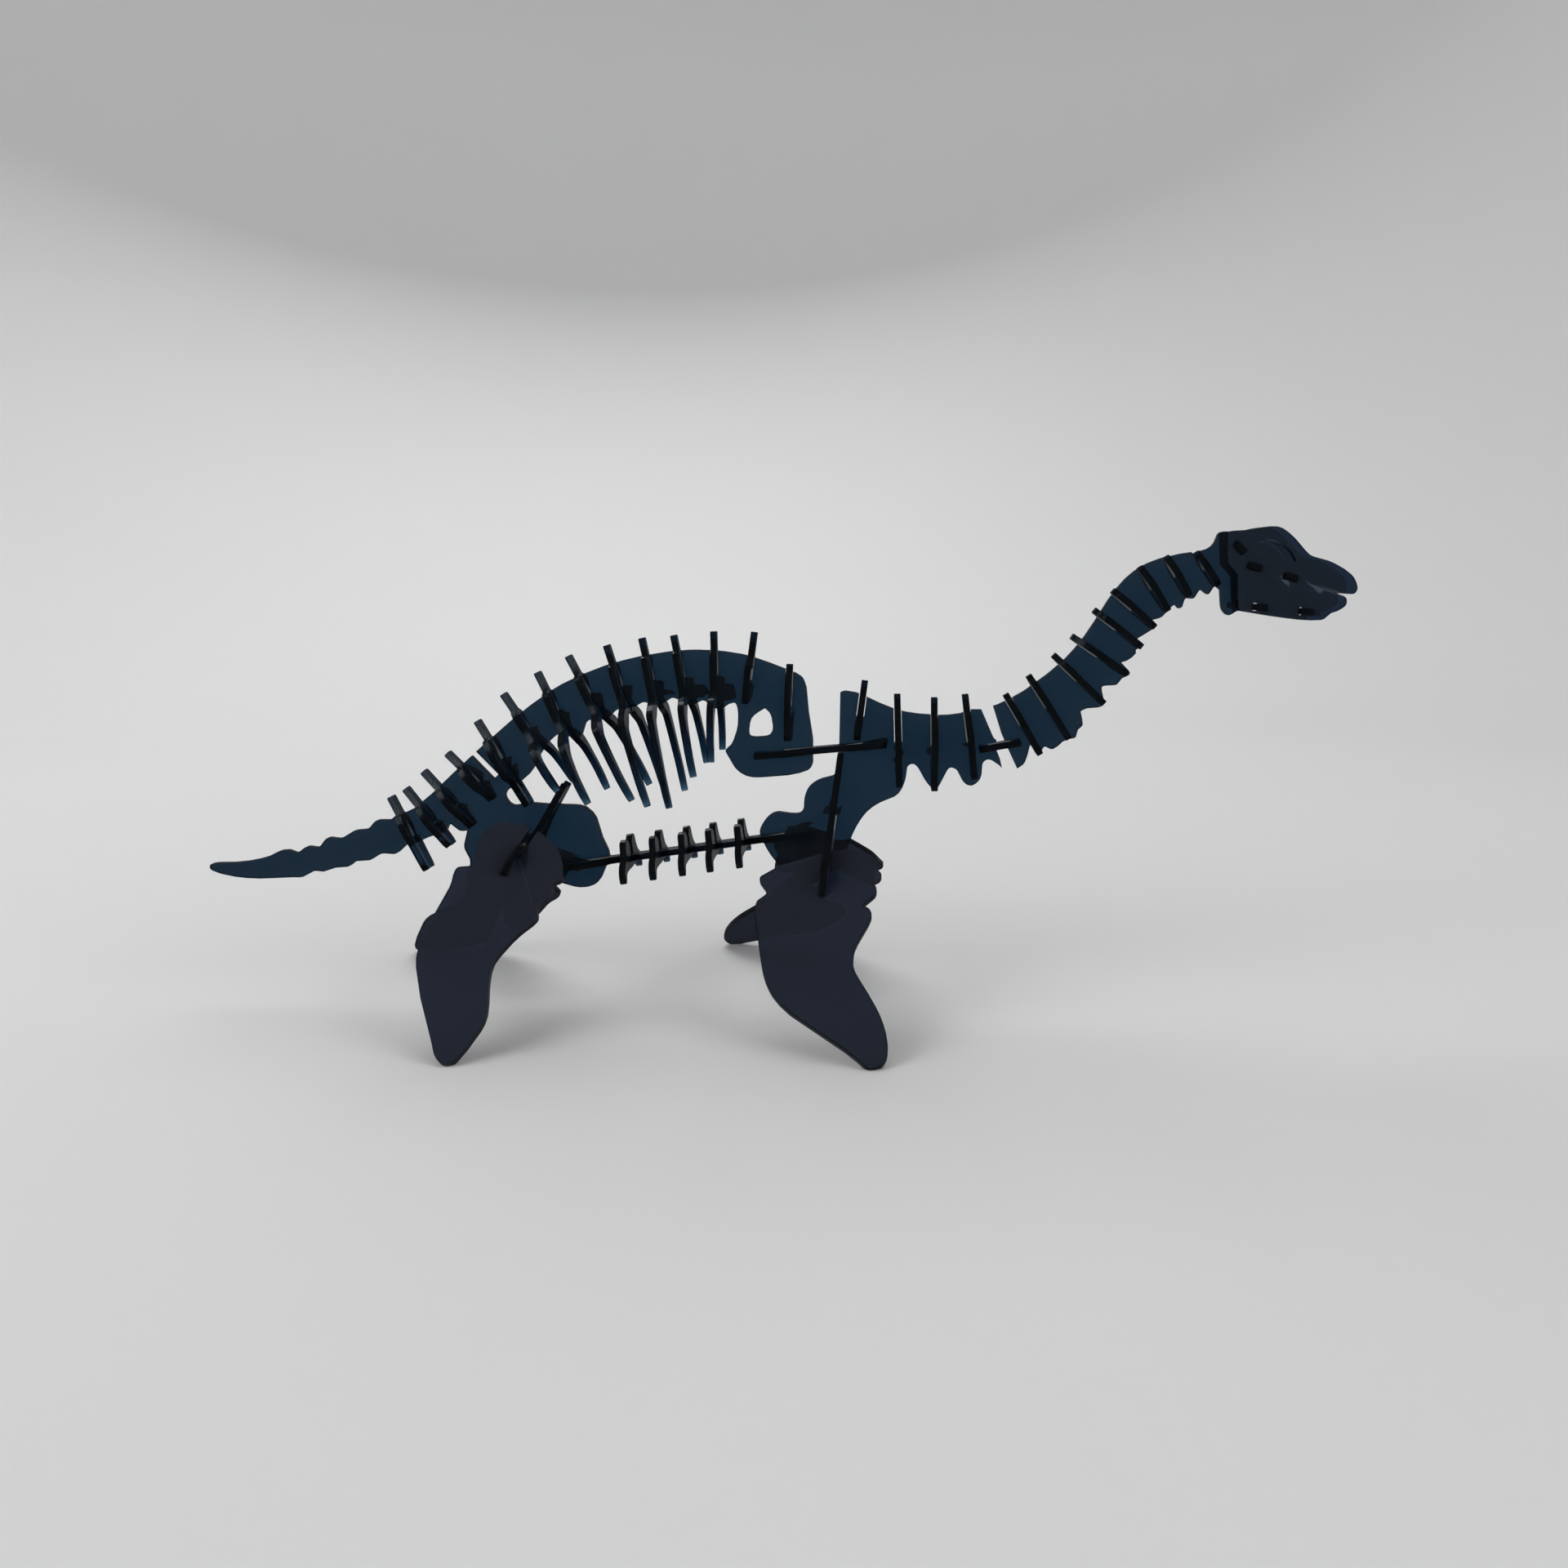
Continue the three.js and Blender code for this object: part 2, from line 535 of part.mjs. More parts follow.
const trunkEdge = outline(
  [-224.5, 52],
  [[-240, 51.4], [-250, 52], [-257.4, 53.4], [-262, 55], [-263.4, 56.8], [-261.6, 58.4],
    [-252.5, 58.6], [-244.5, 59.5], [-236.5, 61.5], [-231.5, 64], [-227.5, 64.4], [-223.4, 63.2],
    [-219, 66], [-213.5, 65.8], [-209.5, 70], [-203.5, 69.8], [-197.5, 73.2], [-191, 74.2],
    [-187, 78], [-181, 78.2], [-178, 80.5], [-174, 81.6], [-169.5, 83.8]],
  [[-161.6, 90.4], [-150.4, 101.2], [-141, 110], [-133, 117], [-122, 126.6], [-108, 137],
    [-98, 142.6], [-82.5, 149], [-61.5, 154.2], [-40.5, 156.2], [-19.5, 154.2], [-1, 148],
    [7.4, 144.2], [10, 139]],
  [[11, 128], [13, 115.4]],
  [[13, 104.4]],
  [[11, 101.2], [3.5, 99], [-7, 98], [-16, 98], [-22, 101.4], [-26, 107.8], [-27, 110.4],
    [-24, 113.6], [-21.6, 121], [-21.4, 128], [-22.6, 131.8], [-25.4, 131.4]],
  [[-28.6, 129.4], [-32.5, 129.6], [-37, 133], [-41, 131.4], [-45.5, 131.6], [-51, 134.2],
    [-55, 132], [-59, 130.6], [-64.5, 132.2], [-69, 130], [-77, 128.6], [-81.4, 124.6],
    [-88.4, 124.2], [-91.4, 122.4], [-93.4, 116.4], [-97, 116], [-101, 119], [-107.4, 114.8],
    [-112, 108.6], [-116, 100.6], [-122, 95], [-127.4, 91.4], [-127.6, 88], [-124.1, 85],
    [-116.6, 86.2], [-108, 85.5], [-93.8, 84.9], [-89.4, 82.6], [-86.4, 79], [-83.6, 70],
    [-80.4, 62.8], [-81.6, 57.6], [-84.8, 50.6], [-89, 47.9], [-95, 47.5], [-102.8, 49.6],
    [-113, 50], [-128, 51], [-139, 52.4], [-143.6, 56.4], [-144.2, 60.4], [-146.8, 66],
    [-145.4, 73.4]],
  [[-149, 73.4], [-153.4, 76.4], [-155.6, 73], [-163, 70.4], [-170.5, 66.8]],
  [[-173.4, 66.8], [-178, 62.8], [-184.5, 62.8], [-190, 59.8], [-196, 59.4], [-200, 56.8],
    [-205.5, 56.4], [-211, 54.6], [-215.5, 54.8], [-220.5, 52.2], [-224.5, 52]],
);
const backHole = outline(
  [-9, 129.4],
  [[-6.4, 126.6], [-5.4, 120.4], [-7, 117.2], [-11, 116.4], [-15.4, 116.6], [-16.4, 119],
    [-15.4, 124.4], [-12.6, 127.2], [-9, 129.4]],
);
piece('trunk_plate', shapeOf(trunkEdge, backHole), MIDDLE, slots.trunk);

const chestEdge = outline(
  [25.5, 136.6],
  [[28, 137.4], [34, 136.2], [43.5, 131.8], [55, 127.8], [70.5, 126.2], [80.5, 127],
    [86, 128.8], [90.2, 128.8]],
  [[95.5, 116.5], [97, 115]],
  [[97, 110.5], [98.6, 106.4], [99.6, 102]],
  [[97.4, 104], [93.6, 106], [90.8, 104.2], [90, 98], [87.4, 94.8], [84.5, 94], [81.6, 96],
    [79, 101], [75.6, 102.2], [73.2, 98.6], [70.2, 93.2], [67.2, 93.2], [64, 97], [61, 102.4],
    [58.6, 104], [56.2, 102.4], [55.4, 97], [53.4, 92], [50.4, 89], [44, 86.4], [38.5, 82.8],
    [34.4, 77.8], [31, 71.4], [28.4, 64.4], [25.6, 58], [19, 54.2], [9, 53.2], [1.5, 54.6],
    [-2.4, 57.4], [-6.6, 62.6], [-10, 68.6], [-11.4, 73], [-9.8, 77], [-6.6, 80.6], [-2.8, 82],
    [2.6, 81.2], [7, 81.4], [8.8, 84], [9.2, 89], [11.4, 93.6], [16, 96.8], [22, 98.4],
    [24.2, 101.4], [25, 109], [25.5, 136.6]],
);
piece('chest_plate', shapeOf(chestEdge), MIDDLE, slots.chest);

const neckEdge = outline(
  [95.6, 130.4],
  [[98.5, 131.4], [108, 136.2], [118.6, 143.6], [128, 151.4], [136, 160.4], [142.4, 169.6],
    [149.4, 180.6], [155, 187.6], [161.6, 193.2], [170.4, 197.6], [182, 200.4], [192.4, 202],
    [196.6, 204.8], [198.6, 209], [200.6, 210.4], [206.5, 210.4]],
  [[211.4, 205], [213, 196], [213, 180], [211, 175.6], [206.5, 173.6]],
  [[203.6, 172], [201.4, 173.2], [200, 176.4], [199.6, 183.6]],
  [[197, 185.2], [194, 181.6], [190.4, 183.6], [187.4, 179.8], [183.6, 179.6], [182.2, 176],
    [180.4, 175.2], [178.4, 176.8], [175, 173.4], [172.4, 171], [168.2, 169.8]],
  [[169.2, 166.4], [165, 163.4], [161.4, 161.2]],
  [[163.8, 158.2], [161, 156.2], [160.8, 154.4], [157.6, 151.6], [154.2, 150.4]],
  [[157.8, 146.6], [157.8, 144.6], [154.6, 143.2], [152, 140.2], [147.2, 139.8], [145.2, 138.6],
    [146.4, 132.6], [144.6, 130], [138.6, 129.4], [135.6, 128]],
  [[136.6, 122], [134.4, 119.6], [133.4, 116.2], [130.8, 115.4], [127.4, 114.2], [125.4, 112.2],
    [122.4, 110.6], [119, 111.8], [116.8, 108.8], [113, 112.8], [111.4, 108.4], [109.8, 104.2],
    [106.6, 101.8]],
  [[103.4, 108.6], [101.6, 112.6]],
  [[99.4, 118]],
  [[95.6, 130.4]],
);
piece('neck_plate', shapeOf(neckEdge), MIDDLE, slots.neck);

// The origin goes to the ground under the middle of the box.
const bounds = new THREE.Box3().setFromObject(group, true);
const middle = bounds.getCenter(new THREE.Vector3());
group.position.set(-middle.x, -middle.y, -bounds.min.z);
group.updateMatrixWorld(true);

export default group;
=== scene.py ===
"""A slot-together plesiosaurus skeleton, cut from smoky clear sheet, with its studio stage."""
import math

import bmesh
import bpy
from bpy.props import FloatProperty, FloatVectorProperty, PointerProperty
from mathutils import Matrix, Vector


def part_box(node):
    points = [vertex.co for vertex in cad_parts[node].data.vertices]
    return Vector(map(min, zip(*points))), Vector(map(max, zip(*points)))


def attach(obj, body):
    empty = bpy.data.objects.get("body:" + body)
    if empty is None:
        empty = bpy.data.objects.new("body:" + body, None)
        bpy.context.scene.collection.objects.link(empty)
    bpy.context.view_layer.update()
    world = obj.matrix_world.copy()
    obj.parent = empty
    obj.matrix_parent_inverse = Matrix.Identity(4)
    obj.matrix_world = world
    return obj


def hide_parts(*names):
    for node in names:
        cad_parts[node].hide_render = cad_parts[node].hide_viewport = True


bl_info = {
    "name": "Slot-together plesiosaurus skeleton",
    "version": (1, 0, 0),
    "blender": (4, 5, 0),
    "location": "3D View > Sidebar > Skeleton",
    "description": "Finishes the sheet pieces of a slot-together skeleton and sets up its stage",
    "category": "Object",
}

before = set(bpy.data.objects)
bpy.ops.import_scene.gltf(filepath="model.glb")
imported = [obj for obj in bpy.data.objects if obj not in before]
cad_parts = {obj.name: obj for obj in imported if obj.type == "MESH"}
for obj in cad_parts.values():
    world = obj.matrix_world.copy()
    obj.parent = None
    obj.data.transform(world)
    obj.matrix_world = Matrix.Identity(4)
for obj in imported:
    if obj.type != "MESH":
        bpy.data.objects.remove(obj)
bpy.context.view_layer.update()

UPRIGHT_PLATES = ("trunk_plate", "chest_plate", "neck_plate")
TAIL_PLATES = tuple(f"tail_plate_{i}" for i in range(1, 6))
RIB_PLATES = tuple(f"rib_plate_{i}" for i in range(1, 8))
CHEST_PLATES = ("shoulder_plate_1", "shoulder_plate_2") + tuple(
    f"chest_plate_{i}" for i in range(1, 5)
)
NECK_PLATES = tuple(f"neck_plate_{i}" for i in range(1, 10))
JOINING_STRIPS = ("back_join", "neck_join")
BELLY_PIECES = ("belly_strip",) + tuple(f"belly_plate_{i}" for i in range(1, 6))
GIRDLES = ("front_girdle", "rear_girdle")
FLIPPERS = ("near_front_flipper", "far_front_flipper", "near_rear_flipper", "far_rear_flipper")
HEAD_SIDES = ("near_head_side", "far_head_side")
HEAD_SPACERS = ("palate", "jaw_floor", "nape")

# Two faces meet at a rim where they turn by more than this.
RIM_ANGLE = math.radians(50)
# Walls that turn by less than this are one smooth curve.
SMOOTH_ANGLE = math.radians(32)
# Faces that turn by less than this are fused into one.
FLAT_ANGLE = math.radians(0.6)
# Corners nearer to each other than this are one corner, in metres.
WELD_DISTANCE = 1e-6
# A face is flat on the sheet where its normal agrees this well with the sheet's.
FLAT_FACE_MATCH = 0.99
# Where the sheet's normal has more X than this, the sheet's axes start from Z.
MOST_X = 0.8

# Noise on the sheet: scale per metre, and detail
CUT_LINES = (1600, 2)
SMUDGES = (26, 3)
CAST_RIPPLE = (14, 1)
# The part of the noise's range that is spread over a roughness
NOISE_LOW = 0.35
NOISE_HIGH = 0.7
# The least and the most roughness, as shares of the setting
WALL_ROUGHNESS_SHARES = (0.6, 1.5)
FACE_ROUGHNESS_SHARES = (0.5, 2)
# Strengths of the bump, and the depth of the cut lines in metres
WALL_BUMP = 0.15
FACE_BUMP = 0.25
CUT_LINE_DEPTH = 0.00002

# The camera stands level and faces the upright plates squarely. Its distance and height are in
# metres, and its lens and sensor in millimetres. CAMERA_X and TRUNK_LEFT_END are measured from
# the same upright line, so the camera's place follows from the trunk's left end.
CAMERA_X = 0.0446
CAMERA_BACK = 0.5625
CAMERA_HEIGHT = 0.192
CAMERA_LENS = 28.125
CAMERA_SENSOR = 36
CAMERA_SHIFT = (-0.0625, -0.1354)
TRUNK_LEFT_END = -0.2634

# The floor's sweep up into a wall: radius of the turn and height of the wall in metres, and
# how many steps and sides they are made of
SWEEP_TURN = 1.4
WALL_TOP = 2.8
SWEEP_STEPS = 24
FLOOR_SIDES = 96
# The floor's paper: its mottling, and how far that darkens it
FLOOR_ROUGHNESS = 0.85
FLOOR_MOTTLE_SCALE = 6
FLOOR_MOTTLE_DETAIL = 4
FLOOR_DARKEST = 0.985
# The softboxes' width, places and aims in metres, and the colour of the even light
SOFTBOX_SIZE = 1.4
LEFT_SOFTBOX = (-1.7, -0.9, 1.0)
RIGHT_SOFTBOX = (1.7, -0.8, 1.1)
BACK_SOFTBOX = (-0.4, 1.4, 1.7)
FRONT_AIM = (0, 0.2, 0.1)
BACK_AIM = (0, 0, 0.1)
FILL_COLOUR = (0.95, 0.97, 1, 1)


# Materials


def new_material(name):
    """An empty node material that is made anew each time."""
    old = bpy.data.materials.get(name)
    if old:
        bpy.data.materials.remove(old)
    material = bpy.data.materials.new(name)
    material.use_nodes = True
    material.node_tree.nodes.clear()
    return material


def add_node(material, kind, **values):
    """Adds a node and sets its named inputs to constants."""
    node = material.node_tree.nodes.new(kind)
    for key, value in values.items():
        node.inputs[key.replace("_", " ")].default_value = value
    return node


def join(material, source, target):
    """Links one socket to another."""
    material.node_tree.links.new(source, target)


def sheet_noise(material, scale, detail):
    """Noise over the sheet's own flat coordinates, so it runs straight through its thickness."""
    place = material.node_tree.nodes.new("ShaderNodeUVMap")
    place.uv_map = "sheet"
    noise = add_node(material, "ShaderNodeTexNoise", Scale=scale, Detail=detail)
    join(material, place.outputs["UV"], noise.inputs["Vector"])
    return noise.outputs["Fac"]


def between(material, source, low, high):
    """Maps the noise's range, from NOISE_LOW to NOISE_HIGH, to the range from low to high."""
    spread = material.node_tree.nodes.new("ShaderNodeMapRange")
    spread.inputs["From Min"].default_value = NOISE_LOW
    spread.inputs["From Max"].default_value = NOISE_HIGH
    spread.inputs["To Min"].default_value = low
    spread.inputs["To Max"].default_value = high
    join(material, source, spread.inputs["Value"])
    return spread.outputs["Result"]


def clear_sheet(name, look, kind, wall):
    """Smoky clear plastic: plain transmission and absorption, with a faint haze in it."""
    absorb = getattr(look, f"{kind}_absorb")
    haze = getattr(look, f"{kind}_haze")
    sheen = getattr(look, f"{kind}_sheen")
    clear = look.wall_clearness if wall else getattr(look, f"{kind}_clearness")
    material = new_material(name)
    shader = material.node_tree.nodes.new("ShaderNodeBsdfPrincipled")
    shader.inputs["Base Color"].default_value = (*haze, 1)
    shader.inputs["Transmission Weight"].default_value = clear
    shader.inputs["IOR"].default_value = look.ior
    polish = look.wall_polish if wall else 1
    shader.inputs["Specular Tint"].default_value = (*(c * polish for c in sheen), 1)
    shader.inputs["Metallic"].default_value = 0
    inside = material.node_tree.nodes.new("ShaderNodeVolumeAbsorption")
    inside.inputs["Color"].default_value = (*absorb, 1)
    inside.inputs["Density"].default_value = look.density
    out = material.node_tree.nodes.new("ShaderNodeOutputMaterial")
    join(material, shader.outputs["BSDF"], out.inputs["Surface"])
    join(material, inside.outputs["Volume"], out.inputs["Volume"])
    if wall:
        lines = sheet_noise(material, *CUT_LINES)
        low, high = (look.wall_roughness * share for share in WALL_ROUGHNESS_SHARES)
        rough = between(material, lines, low, high)
        bump = add_node(material, "ShaderNodeBump", Strength=WALL_BUMP, Distance=CUT_LINE_DEPTH)
        join(material, lines, bump.inputs["Height"])
    else:
        smudge = sheet_noise(material, *SMUDGES)
        low, high = (look.face_roughness * share for share in FACE_ROUGHNESS_SHARES)
        rough = between(material, smudge, low, high)
        ripple = sheet_noise(material, *CAST_RIPPLE)
        bump = add_node(material, "ShaderNodeBump", Strength=FACE_BUMP, Distance=look.ripple)
        join(material, ripple, bump.inputs["Height"])
    join(material, rough, shader.inputs["Roughness"])
    join(material, bump.outputs["Normal"], shader.inputs["Normal"])
    return material


def sheet_materials(kind):
    """The face and wall materials of one kind of sheet: "sheet", "flipper" or "head"."""
    look = bpy.context.scene.skeleton_sheet
    face = bpy.data.materials.get(f"{kind}_face")
    wall = bpy.data.materials.get(f"{kind}_wall")
    if face is None:
        face = clear_sheet(f"{kind}_face", look, kind, False)
    if wall is None:
        wall = clear_sheet(f"{kind}_wall", look, kind, True)
    return face, wall


# Sheet pieces


def flat_axes(mesh_faces):
    """The sheet's normal, and two axes that lie flat in it."""
    widest = max(mesh_faces, key=lambda f: f.calc_area())
    normal = widest.normal.copy()
    helper = Vector((1, 0, 0)) if abs(normal.x) < MOST_X else Vector((0, 0, 1))
    along = (helper - normal * helper.dot(normal)).normalized()
    return normal, along, normal.cross(along)


def polished_piece(node, kind="sheet"):
    """Makes the finished piece of one sheet: fused flat faces, a fine chamfer, smooth walls."""
    look = bpy.context.scene.skeleton_sheet
    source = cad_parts[node]
    work = bmesh.new()
    work.from_mesh(source.data)
    bmesh.ops.remove_doubles(work, verts=work.verts, dist=WELD_DISTANCE)
    bmesh.ops.dissolve_limit(
        work, angle_limit=FLAT_ANGLE, verts=work.verts, edges=work.edges, delimit={"NORMAL"}
    )
    normal, along, up = flat_axes(work.faces)
    rims = [
        e for e in work.edges
        if len(e.link_faces) == 2 and e.calc_face_angle() > RIM_ANGLE
        and any(abs(f.normal.dot(normal)) > FLAT_FACE_MATCH for f in e.link_faces)
    ]
    bmesh.ops.bevel(
        work, geom=rims, offset=look.chamfer, offset_type="OFFSET", segments=1,
        profile=0.5, affect="EDGES", clamp_overlap=True,
    )
    flat = work.loops.layers.uv.new("sheet")
    for f in work.faces:
        f.smooth = True
        f.material_index = 0 if abs(f.normal.dot(normal)) > FLAT_FACE_MATCH else 1
        for corner in f.loops:
            co = corner.vert.co
            corner[flat].uv = (co.dot(along), co.dot(up))
    mesh = bpy.data.meshes.new(f"{node}_sheet")
    work.to_mesh(mesh)
    work.free()
    mesh.set_sharp_from_angle(angle=SMOOTH_ANGLE)
    for material in sheet_materials(kind):
        mesh.materials.append(material)
    piece = bpy.data.objects.new(f"{node}_sheet", mesh)
    bpy.context.collection.objects.link(piece)
    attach(piece, "root")
    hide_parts(node)


# Settings


class SkeletonSheet(bpy.types.PropertyGroup):
    """The clear sheet that every piece is cut from"""

    sheet_absorb: FloatVectorProperty(
        name="Sheet tint", description="What the sheet lets through, from within", size=3,
        default=(0.055, 0.32, 0.45), min=0, max=1, subtype="COLOR",
    )
    flipper_absorb: FloatVectorProperty(
        name="Flipper tint", description="What the flippers' sheet lets through", size=3,
        default=(0.02, 0.16, 0.26), min=0, max=1, subtype="COLOR",
    )
    head_absorb: FloatVectorProperty(
        name="Head tint", description="What the sides of the head let through", size=3,
        default=(0.033, 0.22, 0.36), min=0, max=1, subtype="COLOR",
    )
    sheet_haze: FloatVectorProperty(
        name="Sheet haze", description="Colour of the faint haze in the sheet", size=3,
        default=(0.42, 0.5, 0.58), min=0, max=1, subtype="COLOR",
    )
    flipper_haze: FloatVectorProperty(
        name="Flipper haze", description="Colour of the faint haze in the flippers", size=3,
        default=(0.32, 0.37, 0.54), min=0, max=1, subtype="COLOR",
    )
    head_haze: FloatVectorProperty(
        name="Head haze", description="Colour of the faint haze in the sides of the head",
        size=3, default=(0.27, 0.38, 0.56), min=0, max=1, subtype="COLOR",
    )
    sheet_clearness: FloatProperty(
        name="Sheet clearness", description="Light that isn't caught by the sheet's haze",
        default=0.975, min=0, max=1, subtype="FACTOR",
    )
    flipper_clearness: FloatProperty(
        name="Flipper clearness", description="Light that isn't caught by the flippers' haze",
        default=0.948, min=0, max=1, subtype="FACTOR",
    )
    head_clearness: FloatProperty(
        name="Head clearness", description="Light that isn't caught by the haze in the head",
        default=0.955, min=0, max=1, subtype="FACTOR",
    )
    wall_clearness: FloatProperty(
        name="Wall clearness", description="Light that isn't caught at the cut walls",
        default=0.99, min=0, max=1, subtype="FACTOR",
    )
    density: FloatProperty(
        name="Absorption", description="How fast the sheet darkens with depth, per metre",
        default=1500, min=0, max=5000,
    )
    ior: FloatProperty(
        name="IOR", description="Refraction of clear acrylic", default=1.49, min=1, max=2,
    )
    sheet_sheen: FloatVectorProperty(
        name="Sheet sheen", description="Tint of what the sheet's surface mirrors", size=3,
        default=(0.24, 0.33, 0.42), min=0, max=1, subtype="COLOR",
    )
    flipper_sheen: FloatVectorProperty(
        name="Flipper sheen", description="Tint of what the flippers' surface mirrors", size=3,
        default=(0.55, 0.6, 0.8), min=0, max=1, subtype="COLOR",
    )
    head_sheen: FloatVectorProperty(
        name="Head sheen", description="Tint of what the sides of the head mirror", size=3,
        default=(0.4, 0.5, 0.7), min=0, max=1, subtype="COLOR",
    )
    face_roughness: FloatProperty(
        name="Face roughness", description="Roughness of the polished faces",
        default=0.05, min=0, max=1, subtype="FACTOR",
    )
    wall_roughness: FloatProperty(
        name="Wall roughness", description="Roughness of the cut walls",
        default=0.14, min=0, max=1, subtype="FACTOR",
    )
    wall_polish: FloatProperty(
        name="Wall polish", description="How much the cut walls mirror, beside the faces",
        default=0.45, min=0, max=1, subtype="FACTOR",
    )
    ripple: FloatProperty(
        name="Ripple", description="Height of the faint ripple of cast sheet",
        default=0.0002, min=0, max=0.002, unit="LENGTH",
    )
    chamfer: FloatProperty(
        name="Chamfer", description="Width of the polished chamfer round each face",
        default=0.0003, min=0.00005, max=0.001, unit="LENGTH",
    )


class SkeletonStage(bpy.types.PropertyGroup):
    """The pale floor that sweeps up all round, the soft lights and the camera"""

    floor_colour: FloatVectorProperty(
        name="Floor colour", description="Colour of the floor and its sweep", size=3,
        default=(0.8, 0.8, 0.8), min=0, max=1, subtype="COLOR",
    )
    floor_radius: FloatProperty(
        name="Floor radius", description="From the middle to where the floor turns up",
        default=1.1, min=0.5, max=5, unit="LENGTH",
    )
    left_light: FloatProperty(
        name="Left light", description="Power of the softbox at the front left", default=20,
        min=0, max=500, unit="POWER",
    )
    right_light: FloatProperty(
        name="Right light", description="Power of the softbox at the front right",
        default=12, min=0, max=500, unit="POWER",
    )
    back_light: FloatProperty(
        name="Back light", description="Power of the softbox high behind", default=18,
        min=0, max=500, unit="POWER",
    )
    sky: FloatProperty(
        name="Fill", description="Strength of the even light from above", default=0.16,
        min=0, max=5,
    )


# One operator for each group of like pieces


class SKELETON_OT_upright_plates(bpy.types.Operator):
    """Finishes the three upright plates: trunk, chest and neck"""

    bl_idname = "skeleton.upright_plates"
    bl_label = "Upright plates"

    def execute(self, context):
        for node in UPRIGHT_PLATES:
            polished_piece(node)
        return {"FINISHED"}


class SKELETON_OT_tail_plates(bpy.types.Operator):
    """Finishes the winged cross plates of the tail and hip"""

    bl_idname = "skeleton.tail_plates"
    bl_label = "Tail plates"

    def execute(self, context):
        for node in TAIL_PLATES:
            polished_piece(node)
        return {"FINISHED"}


class SKELETON_OT_rib_plates(bpy.types.Operator):
    """Finishes the cross plates that carry a rib down each side"""

    bl_idname = "skeleton.rib_plates"
    bl_label = "Rib plates"

    def execute(self, context):
        for node in RIB_PLATES:
            polished_piece(node)
        return {"FINISHED"}


class SKELETON_OT_chest_plates(bpy.types.Operator):
    """Finishes the cross plates of the shoulders and chest"""

    bl_idname = "skeleton.chest_plates"
    bl_label = "Shoulder and chest plates"

    def execute(self, context):
        for node in CHEST_PLATES:
            polished_piece(node)
        return {"FINISHED"}


class SKELETON_OT_neck_plates(bpy.types.Operator):
    """Finishes the cross plates of the neck"""

    bl_idname = "skeleton.neck_plates"
    bl_label = "Neck plates"

    def execute(self, context):
        for node in NECK_PLATES:
            polished_piece(node)
        return {"FINISHED"}


class SKELETON_OT_joining_strips(bpy.types.Operator):
    """Finishes the level strips between the upright plates"""

    bl_idname = "skeleton.joining_strips"
    bl_label = "Joining strips"

    def execute(self, context):
        for node in JOINING_STRIPS:
            polished_piece(node)
        return {"FINISHED"}


class SKELETON_OT_belly(bpy.types.Operator):
    """Finishes the belly strip and the plates hung on it"""

    bl_idname = "skeleton.belly"
    bl_label = "Belly"

    def execute(self, context):
        for node in BELLY_PIECES:
            polished_piece(node)
        return {"FINISHED"}


class SKELETON_OT_girdles(bpy.types.Operator):
    """Finishes the two girdles that carry the flippers"""

    bl_idname = "skeleton.girdles"
    bl_label = "Girdles"

    def execute(self, context):
        for node in GIRDLES:
            polished_piece(node)
        return {"FINISHED"}


class SKELETON_OT_flippers(bpy.types.Operator):
    """Finishes the four flippers with their own tint, haze and sheen"""

    bl_idname = "skeleton.flippers"
    bl_label = "Flippers"

    def execute(self, context):
        for node in FLIPPERS:
            polished_piece(node, "flipper")
        return {"FINISHED"}


class SKELETON_OT_head(bpy.types.Operator):
    """Finishes the two sides of the head and the plates between them"""

    bl_idname = "skeleton.head"
    bl_label = "Head"

    def execute(self, context):
        for node in HEAD_SIDES:
            polished_piece(node, "head")
        for node in HEAD_SPACERS:
            polished_piece(node)
        return {"FINISHED"}


# The stage


def floor_material(colour):
    """Matt pale paper with the faintest mottling."""
    material = new_material("pale_floor")
    place = material.node_tree.nodes.new("ShaderNodeTexCoord")
    noise = add_node(
        material, "ShaderNodeTexNoise", Scale=FLOOR_MOTTLE_SCALE, Detail=FLOOR_MOTTLE_DETAIL
    )
    tone = material.node_tree.nodes.new("ShaderNodeValToRGB")
    tone.color_ramp.elements[0].color = (*(c * FLOOR_DARKEST for c in colour), 1)
    tone.color_ramp.elements[1].color = (*colour, 1)
    shader = add_node(material, "ShaderNodeBsdfPrincipled", Roughness=FLOOR_ROUGHNESS)
    out = material.node_tree.nodes.new("ShaderNodeOutputMaterial")
    join(material, place.outputs["Object"], noise.inputs["Vector"])
    join(material, noise.outputs["Fac"], tone.inputs["Fac"])
    join(material, tone.outputs["Color"], shader.inputs["Base Color"])
    join(material, shader.outputs["BSDF"], out.inputs["Surface"])
    return material


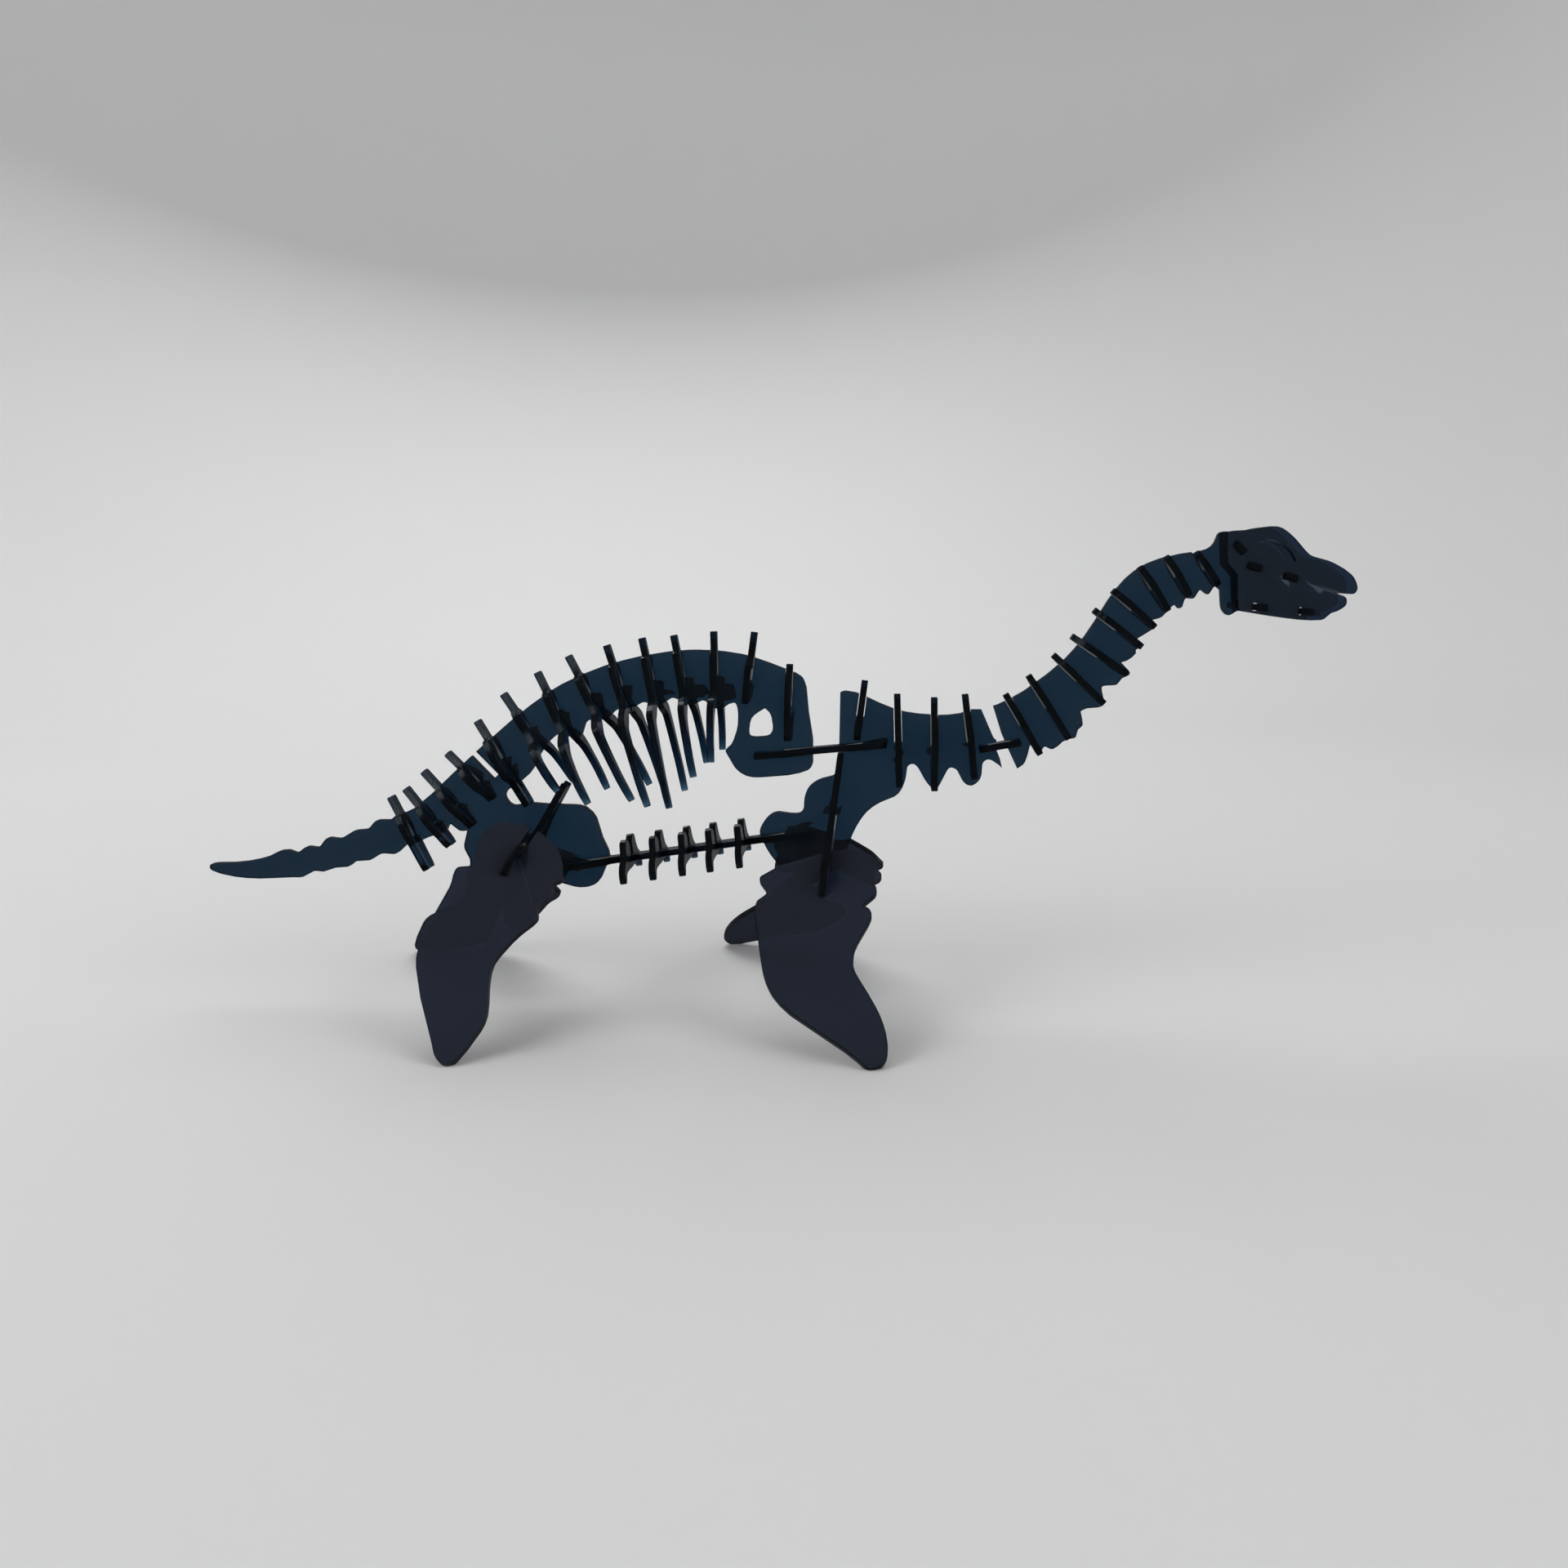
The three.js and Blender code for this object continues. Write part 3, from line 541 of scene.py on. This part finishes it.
def sweep_floor(settings):
    """A round floor whose rim curves up into a wall, so that it has no horizon."""
    profile = [(settings.floor_radius, 0.0)]
    for i in range(1, SWEEP_STEPS + 1):
        angle = math.radians(90 * i / SWEEP_STEPS)
        out = SWEEP_TURN * math.sin(angle)
        rise = SWEEP_TURN * (1 - math.cos(angle))
        profile.append((settings.floor_radius + out, rise))
    profile.append((settings.floor_radius + SWEEP_TURN, WALL_TOP))
    bowl = bmesh.new()
    centre = bowl.verts.new((0, 0, 0))
    rings = []
    for radius, height in profile:
        ring = []
        for k in range(FLOOR_SIDES):
            angle = 2 * math.pi * k / FLOOR_SIDES
            ring.append(
                bowl.verts.new((radius * math.cos(angle), radius * math.sin(angle), height))
            )
        rings.append(ring)
    for k in range(FLOOR_SIDES):
        n = (k + 1) % FLOOR_SIDES
        bowl.faces.new((centre, rings[0][k], rings[0][n]))
        for low, high in zip(rings, rings[1:]):
            bowl.faces.new((low[k], high[k], high[n], low[n]))
    for f in bowl.faces:
        f.smooth = True
    mesh = bpy.data.meshes.new("studio_floor")
    bowl.to_mesh(mesh)
    bowl.free()
    mesh.materials.append(floor_material(settings.floor_colour))
    floor = bpy.data.objects.new("studio_floor", mesh)
    bpy.context.collection.objects.link(floor)
    floor.visible_glossy = False


def softbox(name, power, place, target):
    """A square area light at a place, aimed at a target."""
    data = bpy.data.lights.new(name, "AREA")
    data.energy = power
    data.size = SOFTBOX_SIZE
    lamp = bpy.data.objects.new(name, data)
    lamp.location = place
    lamp.visible_camera = False
    lamp.rotation_euler = (Vector(target) - Vector(place)).to_track_quat("-Z", "Y").to_euler()
    bpy.context.collection.objects.link(lamp)


class SKELETON_OT_stage(bpy.types.Operator):
    """Makes the pale floor, the soft lights and the camera"""

    bl_idname = "skeleton.stage"
    bl_label = "Stage"

    def execute(self, context):
        settings = context.scene.skeleton_stage
        sweep_floor(settings)
        softbox("left_softbox", settings.left_light, LEFT_SOFTBOX, FRONT_AIM)
        softbox("right_softbox", settings.right_light, RIGHT_SOFTBOX, FRONT_AIM)
        softbox("back_softbox", settings.back_light, BACK_SOFTBOX, BACK_AIM)
        world = bpy.data.worlds.new("studio_fill")
        world.use_nodes = True
        fill = world.node_tree.nodes["Background"]
        fill.inputs["Color"].default_value = FILL_COLOUR
        fill.inputs["Strength"].default_value = settings.sky
        context.scene.world = world

        plate_low, plate_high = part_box("trunk_plate")
        plate_y = (plate_low.y + plate_high.y) / 2
        origin_x = plate_low.x - TRUNK_LEFT_END
        data = bpy.data.cameras.new("camera")
        data.sensor_width = CAMERA_SENSOR
        data.lens = CAMERA_LENS
        data.shift_x, data.shift_y = CAMERA_SHIFT
        camera = bpy.data.objects.new("camera", data)
        camera.location = (origin_x + CAMERA_X, plate_y - CAMERA_BACK, CAMERA_HEIGHT)
        camera.rotation_euler = (math.radians(90), 0, 0)
        context.collection.objects.link(camera)
        context.scene.camera = camera
        context.scene.view_settings.view_transform = "Standard"
        return {"FINISHED"}


class SKELETON_PT_panel(bpy.types.Panel):
    """Lists the steps that finish the skeleton, with its settings"""

    bl_idname = "SKELETON_PT_panel"
    bl_label = "Skeleton"
    bl_space_type = "VIEW_3D"
    bl_region_type = "UI"
    bl_category = "Skeleton"

    def draw(self, context):
        for step in STEPS:
            self.layout.operator(step.bl_idname)
        for settings in (context.scene.skeleton_sheet, context.scene.skeleton_stage):
            box = self.layout.box()
            for name in settings.__annotations__:
                box.prop(settings, name)


STEPS = (
    SKELETON_OT_upright_plates,
    SKELETON_OT_tail_plates,
    SKELETON_OT_rib_plates,
    SKELETON_OT_chest_plates,
    SKELETON_OT_neck_plates,
    SKELETON_OT_joining_strips,
    SKELETON_OT_belly,
    SKELETON_OT_girdles,
    SKELETON_OT_flippers,
    SKELETON_OT_head,
    SKELETON_OT_stage,
)
CLASSES = (SkeletonSheet, SkeletonStage) + STEPS + (SKELETON_PT_panel,)


def register():
    """Registers the settings, the steps and the panel."""
    for cls in CLASSES:
        bpy.utils.register_class(cls)
    bpy.types.Scene.skeleton_sheet = PointerProperty(type=SkeletonSheet)
    bpy.types.Scene.skeleton_stage = PointerProperty(type=SkeletonStage)


def unregister():
    """Takes the settings, the steps and the panel out again."""
    del bpy.types.Scene.skeleton_stage
    del bpy.types.Scene.skeleton_sheet
    for cls in reversed(CLASSES):
        bpy.utils.unregister_class(cls)


def main():
    register()
    bpy.ops.skeleton.upright_plates()
    bpy.ops.skeleton.tail_plates()
    bpy.ops.skeleton.rib_plates()
    bpy.ops.skeleton.chest_plates()
    bpy.ops.skeleton.neck_plates()
    bpy.ops.skeleton.joining_strips()
    bpy.ops.skeleton.belly()
    bpy.ops.skeleton.girdles()
    bpy.ops.skeleton.flippers()
    bpy.ops.skeleton.head()
    bpy.ops.skeleton.stage()


if __name__ == "__main__":
    main()
